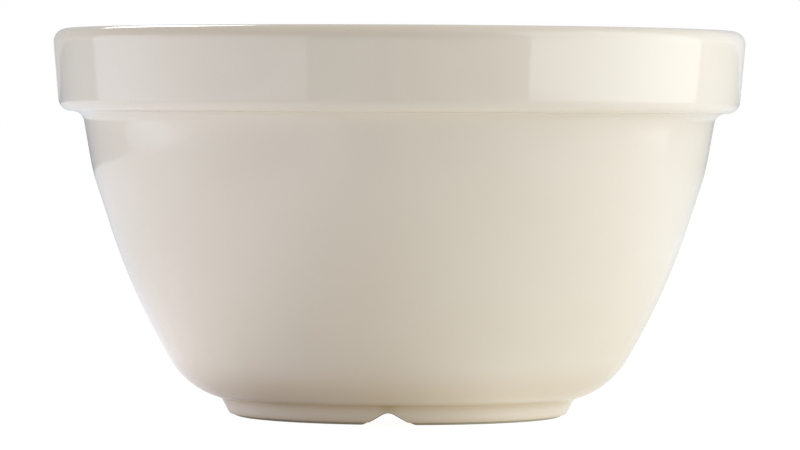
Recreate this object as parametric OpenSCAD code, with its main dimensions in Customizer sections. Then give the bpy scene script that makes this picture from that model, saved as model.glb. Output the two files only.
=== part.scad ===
// Pudding basin: a stoneware body with a thick collar, under a coat of cream glaze.
// Millimetres. It stands on z = 0 about the Z axis, with a drain notch in front, on -Y.

/* [Rim and collar] */
// Widest diameter, across the collar
rim_d = 160; // [140:1:190]
// Height from the sole to the top of the rim
height = 89.3; // [75:0.1:120]
// Height of the collar, from its underside to the top of the rim
collar_h = 19; // [12:0.1:24]
// How far the collar's lower edge stands out past the neck
collar_out = 5.3; // [3:0.1:8]
// Lean of the collar's face from upright, in degrees
collar_draft = 4.9; // [0:0.1:8]
// Radius of the collar's top edge
collar_top_r = 3; // [1:0.1:4]
// Radius of the collar's lower edge
collar_low_r = 3; // [1:0.1:3.5]
// Radius of the hollow between the collar and the neck
collar_root_r = 2.8; // [1:0.1:3.5]
// Width of the rim, from the collar's top corner to the mouth
rim_w = 10.4; // [8:0.1:13]
// Radius of the mouth's edge
mouth_edge_r = 4; // [1:0.1:5]

/* [Wall and base] */
// Height of the neck, the steep band below the collar
neck_h = 14; // [8:0.5:20]
// Lean of the neck from upright, in degrees
neck_lean = 10; // [4:0.5:14]
// Radius of the bend between the neck and the belly
neck_bend_r = 45; // [20:1:80]
// How far the belly swells past a straight line from the heel to the neck
belly_out = 2.4; // [1:0.1:5]
// Radius of the belly
belly_r = 150; // [60:5:200]
// How far the heel stands out past the foot ring
heel_out = 8.5; // [6:0.1:14]
// How far the heel rises above the foot ring
heel_rise = 2.4; // [1.5:0.1:5]
// Radius of the heel
heel_r = 20; // [8:0.5:24]
// Thickness of the wall, with its glaze
wall = 5.5; // [4:0.1:7]
// Thickness of the base over the recess, with its glaze
base_t = 6.5; // [4:0.1:9]
// Radius between the floor and the wall inside
floor_r = 16; // [8:0.5:24]

/* [Foot ring] */
// Diameter of the foot ring across its sole
foot_d = 77.4; // [66:0.1:90]
// Height of the foot ring outside
foot_h = 4.2; // [3:0.1:6]
// Width of the foot ring at its sole
foot_w = 5.8; // [4.5:0.1:8]
// Lean of the foot ring's two faces from upright, in degrees
foot_lean = 29; // [5:1:34]
// Radius of the sole's edges
sole_edge_r = 2.8; // [1:0.1:3]
// Radius of the hollow between the foot ring and the wall
foot_root_r = 2.2; // [1:0.1:6]
// Depth of the recess under the base
recess_h = 3.4; // [2.8:0.1:5]
// Radius of the hollow between the foot ring and the recess
recess_r = 2; // [1:0.1:4]

/* [Drain notches] */
// Number of notches round the foot ring
notch_count = 2; // [1:1:4]
// Width of a notch between the feet of its flanks
notch_w = 10.2; // [6:0.1:12]
// Slope of the flanks from level, in degrees
notch_slope = 31; // [20:1:40]
// Radius of the crown
notch_crown_r = 3; // [1:0.1:4]
// Radius where the flanks flare out into the sole
notch_flare_r = 4; // [1:0.1:5]

/* [Glaze] */
// Thickness of the glaze
glaze_t = 0.4; // [0.2:0.05:0.6]
// Height of the bare clay band above the sole
bare_h = 0.6; // [0.4:0.1:1.2]

/* [Hidden] */

// Sides of a full turn
$fn = 180;
// Greatest distance between an arc and the chords that stand for it
arc_sag = 0.02;
// How far the flares run on below the sole, so that they cross it
flare_sink = 0.1;
// How far the cutters reach past what they cut
past = 2;

clay_colour = "#d8c8ab";
glaze_colour = "#efe9db";

// A path is a list of corners, each [x, y, radius of its round]
function point(corner) = [corner[0], corner[1]];
function toward(a, b) = (point(b) - point(a)) / norm(point(b) - point(a));
function left_of(v) = [-v.y, v.x];
function turned(v, angle) = [v.x * cos(angle) - v.y * sin(angle), v.x * sin(angle) + v.y * cos(angle)];
function run(path, i) = norm(point(path[i + 1]) - point(path[i]));

// Length that the round of corner i takes from each run beside it
function reach(path, i) = path[i][2] == 0
    ? 0
    : path[i][2] * tan(acos(toward(path[i - 1], path[i]) * toward(path[i], path[i + 1])) / 2);

// Share of its radius that corner i can have before its round meets the next
function ease(path, i) = min(
    1,
    run(path, i - 1) / (reach(path, i - 1) + reach(path, i)),
    run(path, i) / (reach(path, i) + reach(path, i + 1))
);

// Points of the round of corner i
function arc(path, i) = let (
    before = toward(path[i - 1], path[i]),
    after = toward(path[i], path[i + 1]),
    side = sign(cross(before, after)),
    radius = path[i][2] * ease(path, i),
    start = point(path[i]) - before * reach(path, i) * ease(path, i),
    centre = start + left_of(before) * side * radius,
    turn = side * acos(before * after),
    steps = ceil(abs(turn) / (2 * acos(1 - arc_sag / radius)))
) [for (k = [0 : steps]) centre + turned(start - centre, turn * k / steps)];

// A path with each corner replaced by its round
function rounded(path) = [
    for (i = [0 : len(path) - 1]) each path[i][2] == 0 ? [point(path[i])] : arc(path, i)
];

// A path moved to its left by a distance, with its rounds kept concentric
function inset(path, distance) = [
    for (i = [0 : len(path) - 1])
        let (
            before = i == 0 ? toward(path[0], path[1]) : toward(path[i - 1], path[i]),
            after = i == len(path) - 1 ? before : toward(path[i], path[i + 1]),
            moved = point(path[i])
                + (left_of(before) + left_of(after)) * distance / (1 + before * after),
            grow = path[i][2] == 0 ? 0 : -sign(cross(before, after)) * distance
        )
        [moved.x, moved.y, path[i][2] + grow]
];

// Corners of the collar and the neck, as distance from the axis and height
collar_z = height - collar_h;
collar_top_x = rim_d / 2 + collar_top_r * (1 / cos(collar_draft) + tan(collar_draft) - 1);
collar_low_x = collar_top_x - collar_h * tan(collar_draft);
neck_x = collar_low_x - collar_out;
collar_top = [collar_top_x, height, collar_top_r];
collar_low = [collar_low_x, collar_z, collar_low_r];
collar_root = [neck_x, collar_z, collar_root_r];
neck_bend = [neck_x - neck_h * tan(neck_lean), collar_z - neck_h, neck_bend_r];

// Corners of the foot ring, whose glazed outline runs on below the sole by the glaze's thickness
sole_z = -glaze_t;
foot_x = foot_d / 2;
sole_out = [foot_x + sole_z * tan(foot_lean), sole_z, sole_edge_r];
sole_in = [foot_x - foot_w - sole_z * tan(foot_lean), sole_z, sole_edge_r];
foot_root = [foot_x + foot_h * tan(foot_lean), foot_h, foot_root_r];
recess_edge = [foot_x - foot_w - recess_h * tan(foot_lean), recess_h, recess_r];

// Corners of the heel and the belly
heel = [foot_root[0] + heel_out, foot_root[1] + heel_rise, heel_r];
chord = toward(heel, neck_bend);
belly_mid = (point(heel) + point(neck_bend)) / 2 - left_of(chord) * belly_out;
belly = [belly_mid.x, belly_mid.y, belly_r];

// Corners inside, on the outer wall moved in by its thickness
inner = inset([foot_root, heel, belly, neck_bend, collar_root], wall);
floor_z = recess_h + base_t;
floor_run = point(inner[2]) - point(inner[1]);
floor_x = inner[1][0] + floor_run.x * (floor_z - inner[1][1]) / floor_run.y;
floor_edge = [floor_x, floor_z, floor_r];
mouth = [collar_top_x - rim_w, height, mouth_edge_r];

// Outline of the glazed basin, from under the base round to the floor, and of its clay
glazed = [
    [0, recess_h, 0], recess_edge, sole_in, sole_out, foot_root, heel, belly, neck_bend,
    collar_root, collar_low, collar_top, mouth, inner[3], inner[2], floor_edge, [0, floor_z, 0]
];
clay = inset(glazed, glaze_t);

// Outline of a notch, wider by a margin on each flank
function notch(margin) = let (
    foot = notch_w / 2 + margin / sin(notch_slope) + flare_sink / tan(notch_slope),
    far = foot + notch_flare_r + past
) [
    [-far, -flare_sink, 0],
    [-foot, -flare_sink, notch_flare_r - margin],
    [0, foot * tan(notch_slope) - flare_sink, notch_crown_r + margin],
    [foot, -flare_sink, notch_flare_r - margin],
    [far, -flare_sink, 0],
    [far, -flare_sink - past, 0],
    [-far, -flare_sink - past, 0]
];

// Cutters for the notches, from inside the recess out past the foot ring
module drain_notches(margin) {
    inside = recess_edge[0] - recess_r - past;
    for (k = [0 : notch_count - 1])
        rotate([90, 0, 360 * k / notch_count])
            translate([0, 0, inside])
                linear_extrude(heel[0] - inside)
                    polygon(rounded(notch(margin)));
}

// The fired clay, with its bare sole
module stoneware_body() {
    color(clay_colour)
        difference() {
            rotate_extrude()
                polygon(rounded(clay));
            drain_notches(glaze_t);
        }
}

// The glaze, over all the clay but the band along the sole
module glaze_coat() {
    color(glaze_colour)
        difference() {
            rotate_extrude()
                intersection() {
                    polygon(rounded(glazed));
                    translate([0, bare_h])
                        square([collar_top_x, height]);
                }
            stoneware_body();
            drain_notches(0);
        }
}

stoneware_body();
glaze_coat();
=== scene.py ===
import math
import bpy
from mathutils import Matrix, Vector


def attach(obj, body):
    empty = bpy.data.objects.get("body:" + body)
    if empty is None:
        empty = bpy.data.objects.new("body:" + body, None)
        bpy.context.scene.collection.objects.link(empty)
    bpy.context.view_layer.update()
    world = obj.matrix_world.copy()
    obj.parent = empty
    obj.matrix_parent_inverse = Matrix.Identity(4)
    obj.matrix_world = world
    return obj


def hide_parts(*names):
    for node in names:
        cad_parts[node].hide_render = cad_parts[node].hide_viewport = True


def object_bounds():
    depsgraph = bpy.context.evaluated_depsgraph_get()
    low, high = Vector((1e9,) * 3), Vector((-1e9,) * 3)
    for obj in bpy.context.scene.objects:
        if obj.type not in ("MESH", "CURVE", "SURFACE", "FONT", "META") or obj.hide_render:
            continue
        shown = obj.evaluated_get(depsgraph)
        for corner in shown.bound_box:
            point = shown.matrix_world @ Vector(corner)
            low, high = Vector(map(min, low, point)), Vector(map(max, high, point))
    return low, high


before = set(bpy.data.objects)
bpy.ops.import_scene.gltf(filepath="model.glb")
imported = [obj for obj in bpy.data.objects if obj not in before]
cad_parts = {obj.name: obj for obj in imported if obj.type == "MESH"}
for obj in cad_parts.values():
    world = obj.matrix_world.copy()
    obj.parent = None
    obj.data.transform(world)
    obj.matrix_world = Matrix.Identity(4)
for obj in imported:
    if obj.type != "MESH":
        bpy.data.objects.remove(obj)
cadLow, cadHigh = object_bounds()
mm = 0.001
print("frame loaded:", sorted(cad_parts))


def linearColour(hexCode):  # sRGB hex to the linear colour that a socket takes
    channels = [int(hexCode[i:i + 2], 16) / 255 for i in (0, 2, 4)]
    return tuple(c / 12.92 if c <= 0.04045 else ((c + 0.055) / 1.055) ** 2.4 for c in channels) + (1.0,)


def glowColour(glow, hexCode):  # a colour of light at a level, where 1 is as bright as white paper
    return tuple(c * glow for c in linearColour(hexCode))


def grey(level):
    return (level, level, level, 1)


def addNode(tree, kind, values=None, links=None, **settings):
    node = tree.nodes.new(kind)
    for key, value in settings.items():
        setattr(node, key, value)
    for key, value in (values or {}).items():
        node.inputs[key].default_value = value
    for key, source in (links or {}).items():
        tree.links.new(source, node.inputs[key])
    return node


def setStops(ramp, stops):  # (place, colour) along a colour ramp, which starts with two stops
    elements = ramp.color_ramp.elements
    for i, (place, colour) in enumerate(stops):
        stop = elements[i] if i < 2 else elements.new(place)
        stop.position = place
        stop.color = colour


def newMaterial(name):
    material = bpy.data.materials.new(name)
    material.use_nodes = True
    material.node_tree.nodes.clear()
    return material, material.node_tree


def aroundAxis(azimuth, distance, height):  # azimuth 0 is in front, on -Y, and 90 is on +X
    a = math.radians(azimuth)
    return Vector((math.sin(a) * distance, -math.cos(a) * distance, height))


# camera: a long lens at table height, just below the rim
cameraSet = {
    "distance": 1158,    # mm from the basin's axis
    "height": 69.9,      # mm above the table
    "aimHeight": 44.18,  # mm up the axis, at the middle of the picture
    "aimAside": 0.3,     # mm to the right of the axis
    "azimuth": 3.1,      # degrees, so that the notch shows left of the middle
    "roll": 0.28,        # degrees
    "lens": 224.75,      # mm
    "sensor": 36,        # mm
    "clipStart": 50,     # mm
}


def placeCamera():
    azimuth = cameraSet["azimuth"]
    spot = aroundAxis(azimuth, cameraSet["distance"] * mm, cameraSet["height"] * mm)
    aim = aroundAxis(azimuth + 90, cameraSet["aimAside"] * mm, cameraSet["aimHeight"] * mm)
    bpy.ops.object.camera_add(location=spot)
    camera = bpy.context.object
    camera.rotation_euler = (aim - spot).to_track_quat("-Z", "Y").to_euler()
    camera.rotation_euler.rotate_axis("Z", math.radians(cameraSet["roll"]))
    camera.data.lens = cameraSet["lens"]
    camera.data.sensor_width = cameraSet["sensor"]
    camera.data.clip_start = cameraSet["clipStart"] * mm
    bpy.context.scene.camera = camera
    bpy.context.scene.view_settings.view_transform = "Standard"
    print("camera set")


# white table with a paper sheet on it: its glow lights the basin from below, more on some sides,
# and the camera sees it as a plain near-white with a light shadow
tableLook = {
    "size": 8.0,         # metres
    "sheetEdge": -0.36,  # metres along X to the left edge of the sheet
    "edgeSoft": 0.01,    # metres either side of that edge
    "bounce": 0.5,       # how much light the sheet throws back
    "bounceFar": 0.3,    # and the table past it
    "glowSpan": 0.3,     # metres either side of the axis that the sheet's glow runs across
    "glow": [            # place across the span, level and colour, with the basin's own shade in the middle
        (0.25, 0.5, "dceaff"),
        (0.375, 0.72, "f0f2ff"),
        (0.45, 0.165, "fff7fe"),
        (0.5, 0.265, "fff7e6"),
        (0.55, 0.57, "fcfffa"),
        (0.625, 0.42, "fffcea"),
        (0.75, 0.56, "eff8ff"),
        (1.0, 0.2, "e4f4ff"),
    ],
    "farGlow": (0.2, "b3daff"),  # level and colour from the table past the sheet
    "seen": 0.95,        # what the camera sees of it even in shadow
    "lit": 0.15,         # what light adds to that
}


def layTable():
    look = tableLook
    bpy.ops.object.select_all(action="DESELECT")
    bpy.ops.mesh.primitive_plane_add(size=look["size"])
    table = bpy.context.object
    table.name = "table"
    material, tree = newMaterial("whiteTable")
    spot = addNode(tree, "ShaderNodeTexCoord").outputs["Object"]
    axes = addNode(tree, "ShaderNodeSeparateXYZ", links={0: spot})
    edge, soft, span = look["sheetEdge"], look["edgeSoft"], look["glowSpan"]
    sheet = addNode(
        tree, "ShaderNodeMapRange", {"From Min": edge - soft, "From Max": edge + soft},
        {"Value": axes.outputs["X"]},
    ).outputs["Result"]
    across = addNode(
        tree, "ShaderNodeMapRange", {"From Min": -span, "From Max": span}, {"Value": axes.outputs["X"]},
    )
    ramp = addNode(tree, "ShaderNodeValToRGB", links={0: across.outputs["Result"]})
    setStops(ramp, [(place, glowColour(level, colour)) for place, level, colour in look["glow"]])
    tone = addNode(
        tree, "ShaderNodeMix", {"A": grey(look["bounceFar"]), "B": grey(look["bounce"])},
        {"Factor": sheet}, data_type="RGBA",
    )
    glow = addNode(
        tree, "ShaderNodeMix", {"A": glowColour(*look["farGlow"])},
        {"Factor": sheet, "B": ramp.outputs["Color"]}, data_type="RGBA",
    )
    bounce = addNode(tree, "ShaderNodeBsdfDiffuse", links={"Color": tone.outputs["Result"]})
    light = addNode(tree, "ShaderNodeEmission", links={"Color": glow.outputs["Result"]})
    plain = addNode(tree, "ShaderNodeAddShader", links={0: bounce.outputs[0], 1: light.outputs[0]})
    lit = addNode(tree, "ShaderNodeBsdfDiffuse", {"Color": grey(look["lit"])})
    white = addNode(tree, "ShaderNodeEmission", {"Strength": look["seen"]})
    seen = addNode(tree, "ShaderNodeAddShader", links={0: lit.outputs[0], 1: white.outputs[0]})
    path = addNode(tree, "ShaderNodeLightPath")
    mix = addNode(
        tree, "ShaderNodeMixShader",
        links={0: path.outputs["Is Camera Ray"], 1: plain.outputs[0], 2: seen.outputs[0]},
    )
    addNode(tree, "ShaderNodeOutputMaterial", links={"Surface": mix.outputs[0]})
    table.data.materials.append(material)
    print("table laid")


# soft panels that stand on the table either side, and a small lamp high up behind, in metres
# fade: place and share of the glow, from a panel's right-hand end to its left, as the basin sees it
# foot: share of the height in which the glow comes up, and the share of it that is there at the bottom
panels = {
    "leftPanel": {
        "azimuth": -69.3, "distance": 0.3, "height": 0.09, "size": (0.537, 0.18),
        "glow": 1.46, "colour": "e6edff",
        "fade": [(0.0, 0.43), (0.33, 0.8), (1.0, 0.5)], "foot": (0.1, 0.8),
    },
    "rightPanel": {
        "azimuth": 73.5, "distance": 0.32, "height": 0.24, "size": (0.441, 0.48),
        "glow": 1.84, "colour": "f1f8ff",
        "fade": [(0.0, 0.86), (0.6, 0.88), (1.0, 0.42)], "foot": (0.06, 0.5),
    },
    "rightCore": {
        "azimuth": 98.3, "distance": 0.35, "height": 0.115, "size": (0.109, 0.23),
        "glow": 0.12, "colour": "e9f2ff",
    },
    "backLamp": {
        "azimuth": -156, "distance": 0.47, "height": 0.445, "size": (0.12, 0.2),
        "glow": 7, "colour": "ffffff",
    },
}
evenFade = [(0.0, 1.0), (1.0, 1.0)]
evenFoot = (1.0, 1.0)
energyPerArea = 4  # of a panel whose glow is 1


def hangLights():
    for name, panel in panels.items():
        spot = aroundAxis(cameraSet["azimuth"] + panel["azimuth"], panel["distance"], panel["height"])
        aim = Vector((0, 0, cadHigh.z if name == "backLamp" else spot.z))  # the panels stand upright
        width, height = panel["size"]
        bpy.ops.object.light_add(type="AREA", location=spot)
        light = bpy.context.object
        light.name = name
        light.rotation_euler = (aim - spot).to_track_quat("-Z", "Y").to_euler()
        light.data.shape = "RECTANGLE"
        light.data.size, light.data.size_y = width, height
        light.data.energy = panel["glow"] * energyPerArea * width * height
        light.data.color = linearColour(panel["colour"])[:3]
        light.data.use_nodes = True
        tree = light.data.node_tree
        onPanel = addNode(tree, "ShaderNodeNewGeometry").outputs["Parametric"]  # 0 to 1 along and up
        axes = addNode(tree, "ShaderNodeSeparateXYZ", links={0: onPanel})
        fade = addNode(tree, "ShaderNodeValToRGB", links={0: axes.outputs["X"]})
        setStops(fade, [(place, grey(share)) for place, share in panel.get("fade", evenFade)])
        reach, share = panel.get("foot", evenFoot)
        rise = addNode(
            tree, "ShaderNodeMapRange", {"From Max": reach, "To Min": share}, {"Value": axes.outputs["Y"]},
        )
        both = addNode(
            tree, "ShaderNodeMath", links={0: fade.outputs["Color"], 1: rise.outputs["Result"]},
            operation="MULTIPLY",
        )
        tree.links.new(both.outputs[0], tree.nodes["Emission"].inputs["Strength"])
        light.visible_camera = False
    print("lights hung")


# the room's light, as level and colour, from four sides and from a softbox overhead
room = {
    "frontLeft": (0.24, "ffeab8"),
    "frontRight": (0.0, "ffffff"),
    "backLeft": (0.5, "ffffff"),
    "backRight": (0.79, "ecf3ff"),
    "blend": 0.6,        # how far each side blends into the next, on a ball of 1
    "top": (1.0, "fffaf0"),
    "topFrom": 0.7,      # height, on that ball, above which the top's light comes in
}


def blendSides(tree, across, along):
    rows = []
    for row in ("front", "back"):
        left, right = (glowColour(*room[row + side]) for side in ("Left", "Right"))
        blend = addNode(tree, "ShaderNodeMix", {"A": left, "B": right}, {"Factor": across}, data_type="RGBA")
        rows.append(blend.outputs["Result"])
    front, back = rows
    return addNode(tree, "ShaderNodeMix", links={"Factor": along, "A": front, "B": back}, data_type="RGBA")


def paintRoom():
    world = bpy.data.worlds.new("studioRoom")
    bpy.context.scene.world = world
    world.use_nodes = True
    tree = world.node_tree
    tree.nodes.clear()
    away = addNode(tree, "ShaderNodeTexCoord").outputs["Generated"]
    axes = addNode(tree, "ShaderNodeSeparateXYZ", links={0: away})
    across, along = (
        addNode(
            tree, "ShaderNodeMapRange", {"From Min": -room["blend"], "From Max": room["blend"]},
            {"Value": axes.outputs[axis]},
        ).outputs["Result"]
        for axis in "XY"
    )
    sides = blendSides(tree, across, along)
    rise = addNode(tree, "ShaderNodeMapRange", {"From Min": room["topFrom"]}, {"Value": axes.outputs["Z"]})
    glow = addNode(
        tree, "ShaderNodeMix", {"B": glowColour(*room["top"])},
        {"Factor": rise.outputs["Result"], "A": sides.outputs["Result"]}, data_type="RGBA",
    )
    path = addNode(tree, "ShaderNodeLightPath")
    colour = addNode(  # plain white to the camera
        tree, "ShaderNodeMix", {"B": grey(1)},
        {"Factor": path.outputs["Is Camera Ray"], "A": glow.outputs["Result"]}, data_type="RGBA",
    )
    back = addNode(tree, "ShaderNodeBackground", links={"Color": colour.outputs["Result"]})
    addNode(tree, "ShaderNodeOutputWorld", links={"Surface": back.outputs[0]})
    print("room painted")


# the basin's glazed outline, in mm
basinShape = {
    "rimDia": (cadHigh.x - cadLow.x) / mm,
    "height": cadHigh.z / mm,
    "collarHeight": 19,
    "collarOut": 5.3,
    "collarDraft": 4.9,      # degrees
    "collarTopRound": 3,
    "collarLowRound": 3,
    "collarRootRound": 2.8,
    "rimWidth": 10.4,
    "mouthRound": 4,
    "neckHeight": 14,
    "neckLean": 10,          # degrees
    "neckBendRound": 45,
    "bellyOut": 2.4,
    "bellyRound": 150,
    "heelOut": 8.5,
    "heelRise": 2.4,
    "heelRound": 20,
    "wall": 5.5,
    "base": 6.5,
    "floorRound": 16,
    "footDia": 77.4,
    "footHeight": 4.2,
    "footWidth": 5.8,
    "footLean": 29,          # degrees
    "soleRound": 2.8,
    "footRootRound": 2.2,
    "recess": 3.4,
    "recessRound": 2,
    "glaze": 0.4,            # the outline runs on below the sole by this
    "bareHeight": 0.6,       # and is cut off here, so that the clay shows
    "glazeEdge": 0.2,        # round of the cut edges
    "startSize": 10,         # of the plane that the outline is drawn from
    "longestRun": 4,         # longer straight runs of the outline are halved
    "arcStep": 6,            # degrees that one step of a round turns, at most
    "arcRun": 4,             # about the longest step of a wide round
    "fewestSteps": 3,        # in any round
    "turnSteps": 400,
    "weld": 0.002,           # points nearer than this are merged
}


def insetCorner(before, corner, after, distance):  # the corner of two runs moved to their left
    a, b = (corner - before).normalized(), (after - corner).normalized()
    left = Vector((-a.y, a.x)) + Vector((-b.y, b.x))
    return corner + left * distance / (1 + a.dot(b))


def lean(degrees):
    return math.tan(math.radians(degrees))


# corner and round of each bend, from under the base, out round the foot, over the rim and in to the floor
def basinCorners():
    s = basinShape
    draft = lean(s["collarDraft"])
    collarZ = s["height"] - s["collarHeight"]
    collarTopX = s["rimDia"] / 2 + s["collarTopRound"] * (math.hypot(1, draft) + draft - 1)
    collarLowX = collarTopX - s["collarHeight"] * draft
    collarRoot = Vector((collarLowX - s["collarOut"], collarZ))
    neckBend = collarRoot - Vector((lean(s["neckLean"]), 1)) * s["neckHeight"]
    footX, footIn = s["footDia"] / 2, s["footDia"] / 2 - s["footWidth"]
    footLean = lean(s["footLean"])
    footRoot = Vector((footX + s["footHeight"] * footLean, s["footHeight"]))
    heel = footRoot + Vector((s["heelOut"], s["heelRise"]))
    chord = (neckBend - heel).normalized()
    belly = (heel + neckBend) / 2 + Vector((chord.y, -chord.x)) * s["bellyOut"]
    innerHeel = insetCorner(footRoot, heel, belly, s["wall"])
    innerBelly = insetCorner(heel, belly, neckBend, s["wall"])
    innerNeck = insetCorner(belly, neckBend, collarRoot, s["wall"])
    floorZ, sunk = s["recess"] + s["base"], s["glaze"]
    floorEdge = innerHeel.lerp(innerBelly, (floorZ - innerHeel.y) / (innerBelly.y - innerHeel.y))
    return {
        "recessMiddle": (Vector((0, s["recess"])), 0),
        "recessEdge": (Vector((footIn - s["recess"] * footLean, s["recess"])), s["recessRound"]),
        "soleIn": (Vector((footIn + sunk * footLean, -sunk)), s["soleRound"]),
        "soleOut": (Vector((footX - sunk * footLean, -sunk)), s["soleRound"]),
        "footRoot": (footRoot, s["footRootRound"]),
        "heel": (heel, s["heelRound"]),
        "belly": (belly, s["bellyRound"]),
        "neckBend": (neckBend, s["neckBendRound"]),
        "collarRoot": (collarRoot, s["collarRootRound"]),
        "collarLow": (Vector((collarLowX, collarZ)), s["collarLowRound"]),
        "collarTop": (Vector((collarTopX, s["height"])), s["collarTopRound"]),
        "mouth": (Vector((collarTopX - s["rimWidth"], s["height"])), s["mouthRound"]),
        "innerNeck": (innerNeck, s["neckBendRound"] - s["wall"]),
        "innerBelly": (innerBelly, s["bellyRound"] - s["wall"]),
        "floorEdge": (floorEdge, s["floorRound"]),
        "floorMiddle": (Vector((0, floorZ)), 0),
    }


def upright(corner):  # outline millimetres to metres in the XZ plane
    return Vector((corner.x, 0, corner.y)) * mm


def selectSpot(mesh, spot, near=0.01 * mm):
    bpy.ops.mesh.select_all(action="DESELECT")
    bpy.ops.object.mode_set(mode="OBJECT")
    for v in mesh.vertices:
        v.select = (v.co - spot).length < near
    bpy.ops.object.mode_set(mode="EDIT")


def selectLongRuns(mesh, longest):
    bpy.ops.mesh.select_all(action="DESELECT")
    bpy.ops.object.mode_set(mode="OBJECT")
    for edge in mesh.edges:
        a, b = edge.vertices
        edge.select = (mesh.vertices[a].co - mesh.vertices[b].co).length > longest
    found = any(edge.select for edge in mesh.edges)
    bpy.ops.object.mode_set(mode="EDIT")
    return found


def turnBasin():
    s = basinShape
    corners = list(basinCorners().values())
    bpy.ops.object.select_all(action="DESELECT")
    bpy.ops.mesh.primitive_plane_add(size=s["startSize"] * mm)
    piece = bpy.context.object
    piece.name = piece.data.name = "glazedBasin"
    bpy.ops.object.mode_set(mode="EDIT")
    bpy.ops.mesh.select_mode(type="VERT")
    bpy.ops.mesh.select_all(action="SELECT")
    bpy.ops.mesh.merge(type="CENTER")  # one point, to draw the outline from
    bpy.ops.transform.translate(value=upright(corners[0][0]))
    for (a, _), (b, _) in zip(corners, corners[1:]):
        bpy.ops.mesh.extrude_vertices_move(TRANSFORM_OT_translate={"value": upright(b - a)})
    for (a, _), (b, rounding), (c, _) in zip(corners, corners[1:], corners[2:]):
        turn = (b - a).angle(c - b)
        bulge = (0.5 + 0.5 / (1 + 1 / math.cos(turn / 2))) ** 2  # bevel profile that follows a circle
        byAngle, byLength = math.ceil(math.degrees(turn) / s["arcStep"]), round(turn * rounding / s["arcRun"])
        selectSpot(piece.data, upright(b))
        bpy.ops.mesh.bevel(
            affect="VERTICES", offset=rounding * math.tan(turn / 2) * mm, profile=bulge,
            segments=max(s["fewestSteps"], byAngle, byLength),
        )
    bpy.ops.mesh.select_all(action="SELECT")
    bpy.ops.mesh.bisect(plane_co=(0, 0, s["bareHeight"] * mm), plane_no=(0, 0, 1), clear_inner=True)
    bpy.ops.mesh.edge_face_add()  # across the sole, from one cut end to the other
    bpy.ops.mesh.bevel(affect="VERTICES", offset=s["glazeEdge"] * mm, segments=s["fewestSteps"])
    bpy.ops.mesh.select_mode(type="EDGE")
    while selectLongRuns(piece.data, s["longestRun"] * mm):
        bpy.ops.mesh.subdivide(number_cuts=1)
    bpy.ops.object.mode_set(mode="OBJECT")
    bpy.ops.object.modifier_add(type="SCREW")
    turning = piece.modifiers[-1]
    turning.axis = "Z"
    turning.angle = 2 * math.pi
    turning.steps = turning.render_steps = s["turnSteps"]
    bpy.ops.object.modifier_apply(modifier=turning.name)
    bpy.ops.object.mode_set(mode="EDIT")
    bpy.ops.mesh.select_mode(type="VERT")
    bpy.ops.mesh.select_all(action="SELECT")
    bpy.ops.mesh.remove_doubles(threshold=s["weld"] * mm)
    bpy.ops.mesh.normals_make_consistent(inside=False)
    bpy.ops.object.mode_set(mode="OBJECT")
    bpy.ops.object.shade_smooth()
    print("basin turned:", len(piece.data.polygons), "faces")
    return piece


# drain notches in the foot ring, in mm
notchShape = {
    "width": 10.7,
    "slope": 31,      # degrees
    "crownRound": 2.4,
    "flareRound": 4,
    "fadeOut": 4.4,   # height on the outside above which the foot isn't lifted
    "fadeIn": 3.4,    # the same inside, at the recess
    "lipShade": 0.25,      # height of the painted shade line along the outer edge
    "lipIn": 2.4,     # width in which it comes up, out from the middle of the foot ring
    "lipFull": 0.5,   # share of the notch's height above which it is at its darkest
}


def notchHeight(aside):  # height of the notch at a distance from its middle
    slope = math.radians(notchShape["slope"])
    half = notchShape["width"] / 2
    crown, flare = notchShape["crownRound"], notchShape["flareRound"]
    flareEnd = half + flare * math.tan(slope / 2)
    aside = abs(aside)
    if aside >= flareEnd:
        return 0
    if aside <= crown * math.sin(slope):
        return half * math.tan(slope) - crown / math.cos(slope) + math.sqrt(crown ** 2 - aside ** 2)
    if aside > flareEnd - flare * math.sin(slope):
        return flare - math.sqrt(flare ** 2 - (flareEnd - aside) ** 2)
    return (half - aside) * math.tan(slope)


def liftNotches(piece):  # the foot is drawn up its own slope into the notches, and its round edge with it
    s = basinShape
    middle = (s["footDia"] - s["footWidth"]) / 2
    bare = s["bareHeight"]
    top = notchHeight(0) - bare
    along = top * lean(s["footLean"])
    moves = {"up": ("Z", top), "forward": ("Y", -along), "backward": ("Y", along)}
    groups = {name: piece.vertex_groups.new(name=name) for name in moves}
    darkness = {}
    for v in piece.data.vertices:
        x, y, z = v.co / mm
        out = math.hypot(x, y)
        fade = notchShape["fadeOut"] if out > middle else notchShape["fadeIn"]
        lift = notchHeight(x) - bare
        if z < fade and lift > 0 and out < middle + s["footWidth"]:
            share = lift / top * min(1, (fade - z) / (fade - bare))
            groups["up"].add([v.index], share, "REPLACE")
            groups["forward" if (out > middle) == (y < 0) else "backward"].add([v.index], share, "REPLACE")
            # painted shade along the notch's outer edge, full where the notch is high enough
            if z < bare + notchShape["lipShade"]:
                outer = max(0, min(1, (out - middle) / notchShape["lipIn"]))
                darkness[v.index] = outer * min(1, lift / top / notchShape["lipFull"])
    bpy.ops.object.select_all(action="DESELECT")
    piece.select_set(True)
    bpy.context.view_layer.objects.active = piece
    for name, (axis, strength) in moves.items():
        bpy.ops.object.modifier_add(type="DISPLACE")
        move = piece.modifiers[-1]
        move.vertex_group = name
        move.direction = axis
        move.mid_level = 0
        move.strength = strength * mm
        bpy.ops.object.modifier_apply(modifier=move.name)
    lipShade = piece.data.attributes.new("lipShade", "FLOAT", "POINT")  # painted shade along the notch's outer edge, for the glaze, made once the shape is done
    for index, level in darkness.items():
        lipShade.data[index].value = level
    print("notches lifted")
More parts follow.
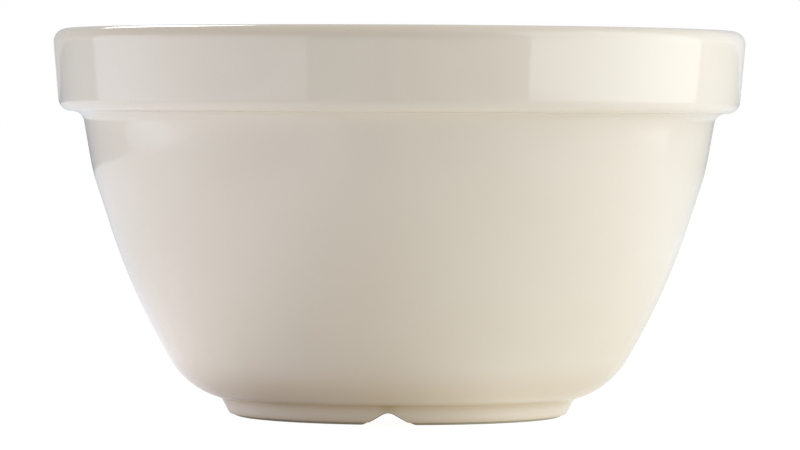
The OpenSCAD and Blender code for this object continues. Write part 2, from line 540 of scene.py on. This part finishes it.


# cream glaze, dipped and fired glossy: a warm white, a little uneven, that pools darker in the hollows, with
# painted shade in the same hollows and along the notches' edges, a soft orange-peel in its reflections and
# very few iron specks
glazeLook = {
    "cream": "eae0d1",
    "warm": "e6dac8",
    # pooled glaze and painted shade in the hollows
    "poolAndShade": "c9b189",
    "speck": "8a775c",
    # painted shade along the notches' outer edges
    "lipShade": "7d766a",
    "ior": 1.5,
    "roughness": (0.04, 0.09),  # on the cream and on the warmer patches
    "mottle": 28,               # mm across a patch of slightly warmer cream
    "mottleDetail": 2,
    "peel": 6,                  # mm across a ripple of the orange-peel
    "peelDetail": 1,
    "peelBump": (0.02, 1),      # strength, and height in mm
    "speckSpacing": 45,         # mm
    "speckSize": 0.3,           # mm, from its middle to its edge
    "speckDepth": 0.8,
    "poolAndShadeReach": 2.6,           # mm from a hollow's corner to where the pooled glaze and painted shade end
    "poolAndShadeSpots": {                  # depth of colour of pooled glaze and painted shade at the corner, and how many times that reach
        # soleOut and groove stand mostly for painted shade, on the foot's down-facing round and in the crease
        # above it
        "recessEdge": (0.6, 1),
        "soleIn": (0.7, 0.8),
        "soleOut": (0.85, 1),
        "groove": (0.55, 1.2),
        "collarRoot": (0.1, 1),
        "floorEdge": (0.4, 4),
    },
    "grooveAt": 0.12,           # where the groove over the foot is, from the foot's root to the heel
    "overNotchDark": (0.4, 1.2),    # the same as those, for a darker patch at the foot's root over each notch
}


def poolAndShadeMask(tree, spot):  # how far the glaze has pooled at a spot, with the painted shade in those hollows
    look = glazeLook
    axes = addNode(tree, "ShaderNodeSeparateXYZ", links={0: spot})
    flat = addNode(tree, "ShaderNodeVectorMath", {1: (1, 1, 0)}, {0: spot}, operation="MULTIPLY")
    out = addNode(tree, "ShaderNodeVectorMath", links={0: flat.outputs["Vector"]}, operation="LENGTH")
    onOutline = addNode(
        tree, "ShaderNodeCombineXYZ", links={"X": out.outputs["Value"], "Z": axes.outputs["Z"]},
    )
    mirrored = addNode(tree, "ShaderNodeVectorMath", links={0: spot}, operation="ABSOLUTE")
    corners = {name: corner for name, (corner, _) in basinCorners().items()}
    footRoot = corners["footRoot"]
    corners["groove"] = footRoot.lerp(corners["heel"], look["grooveAt"])
    poolAndShadeSpots = [
        (onOutline.outputs["Vector"], upright(corners[name]), depth, times)
        for name, (depth, times) in look["poolAndShadeSpots"].items()
    ]
    # darker patch at the foot's root over each notch
    notchTop = Vector((0, footRoot.x, footRoot.y)) * mm
    poolAndShadeSpots.append((mirrored.outputs["Vector"], notchTop, *look["overNotchDark"]))
    total = None
    for source, middle, depth, times in poolAndShadeSpots:
        away = addNode(tree, "ShaderNodeVectorMath", {1: middle}, {0: source}, operation="DISTANCE")
        poolAndShade = addNode(
            tree, "ShaderNodeMapRange",
            {"From Min": 0, "From Max": look["poolAndShadeReach"] * times * mm, "To Min": depth, "To Max": 0},
            {"Value": away.outputs["Value"]}, interpolation_type="SMOOTHSTEP",
        ).outputs["Result"]
        if total:
            poolAndShade = addNode(tree, "ShaderNodeMath", links={0: total, 1: poolAndShade}, operation="ADD").outputs[0]
        total = poolAndShade
    return total


def creamGlaze():
    material, tree = newMaterial("creamGlaze")
    look = glazeLook
    spot = addNode(tree, "ShaderNodeTexCoord").outputs["Object"]
    mottle = addNode(
        tree, "ShaderNodeTexNoise", {"Scale": 1 / (look["mottle"] * mm), "Detail": look["mottleDetail"]},
        {"Vector": spot},
    )
    body = addNode(
        tree, "ShaderNodeMix", {"A": linearColour(look["cream"]), "B": linearColour(look["warm"])},
        {"Factor": mottle.outputs["Fac"]}, data_type="RGBA",
    )
    # pooled glaze and painted shade in the hollows
    pooledAndShaded = addNode(
        tree, "ShaderNodeMix", {"B": linearColour(look["poolAndShade"])},
        {"Factor": poolAndShadeMask(tree, spot), "A": body.outputs["Result"]}, data_type="RGBA",
    )
    cells = addNode(
        tree, "ShaderNodeTexVoronoi", {"Scale": 1 / (look["speckSpacing"] * mm)}, {"Vector": spot},
    )
    speckEdge = look["speckSize"] / look["speckSpacing"]
    speck = addNode(
        tree, "ShaderNodeMapRange",
        {"From Min": speckEdge / 2, "From Max": speckEdge, "To Min": look["speckDepth"], "To Max": 0},
        {"Value": cells.outputs["Distance"]},
    )
    specked = addNode(
        tree, "ShaderNodeMix", {"B": linearColour(look["speck"])},
        {"Factor": speck.outputs["Result"], "A": pooledAndShaded.outputs["Result"]}, data_type="RGBA",
    )
    # painted shade along the notches' outer edges
    lipShade = addNode(tree, "ShaderNodeAttribute", attribute_name="lipShade")
    colour = addNode(
        tree, "ShaderNodeMix", {"B": linearColour(look["lipShade"])},
        {"Factor": lipShade.outputs["Fac"], "A": specked.outputs["Result"]}, data_type="RGBA",
    )
    peel = addNode(
        tree, "ShaderNodeTexNoise", {"Scale": 1 / (look["peel"] * mm), "Detail": look["peelDetail"]},
        {"Vector": spot},
    )
    strength, height = look["peelBump"]
    bump = addNode(
        tree, "ShaderNodeBump", {"Strength": strength, "Distance": height * mm},
        {"Height": peel.outputs["Fac"]},
    )
    smooth, dull = look["roughness"]
    gloss = addNode(
        tree, "ShaderNodeMapRange", {"To Min": smooth, "To Max": dull}, {"Value": mottle.outputs["Fac"]},
    )
    shader = addNode(
        tree, "ShaderNodeBsdfPrincipled", {"IOR": look["ior"]},
        {
            "Base Color": colour.outputs["Result"],
            "Roughness": gloss.outputs["Result"],
            "Normal": bump.outputs["Normal"],
        },
    )
    addNode(tree, "ShaderNodeOutputMaterial", links={"Surface": shader.outputs["BSDF"]})
    return material


# bare stoneware, wiped clean at the sole: fine gritty greyish buff clay, quite matt
clayLook = {
    "buff": "c0b8a4",
    "grit": "9c9585",
    "ior": 1.5,
    "roughness": 0.85,
    "grain": 0.8,              # mm across a grain, coarser than the real grit so that it shows
    "grainDetail": 4,
    "grainRoughness": 0.7,
    "grainBump": (0.25, 0.2),  # strength, and height in mm
}


def bareStoneware():
    material, tree = newMaterial("bareStoneware")
    look = clayLook
    spot = addNode(tree, "ShaderNodeTexCoord").outputs["Object"]
    grain = addNode(
        tree, "ShaderNodeTexNoise",
        {
            "Scale": 1 / (look["grain"] * mm),
            "Detail": look["grainDetail"],
            "Roughness": look["grainRoughness"],
        },
        {"Vector": spot},
    )
    colour = addNode(
        tree, "ShaderNodeMix", {"A": linearColour(look["buff"]), "B": linearColour(look["grit"])},
        {"Factor": grain.outputs["Fac"]}, data_type="RGBA",
    )
    strength, height = look["grainBump"]
    bump = addNode(
        tree, "ShaderNodeBump", {"Strength": strength, "Distance": height * mm},
        {"Height": grain.outputs["Fac"]},
    )
    shader = addNode(
        tree, "ShaderNodeBsdfPrincipled", {"Roughness": look["roughness"], "IOR": look["ior"]},
        {"Base Color": colour.outputs["Result"], "Normal": bump.outputs["Normal"]},
    )
    addNode(tree, "ShaderNodeOutputMaterial", links={"Surface": shader.outputs["BSDF"]})
    return material


placeCamera()
layTable()
hangLights()
paintRoom()
basin = turnBasin()
liftNotches(basin)
basin.data.materials.append(creamGlaze())
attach(basin, "root")
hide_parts("glaze_coat")
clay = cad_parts["stoneware_body"]
clay.data.materials.clear()
clay.data.materials.append(bareStoneware())
print("glaze and clay finished")
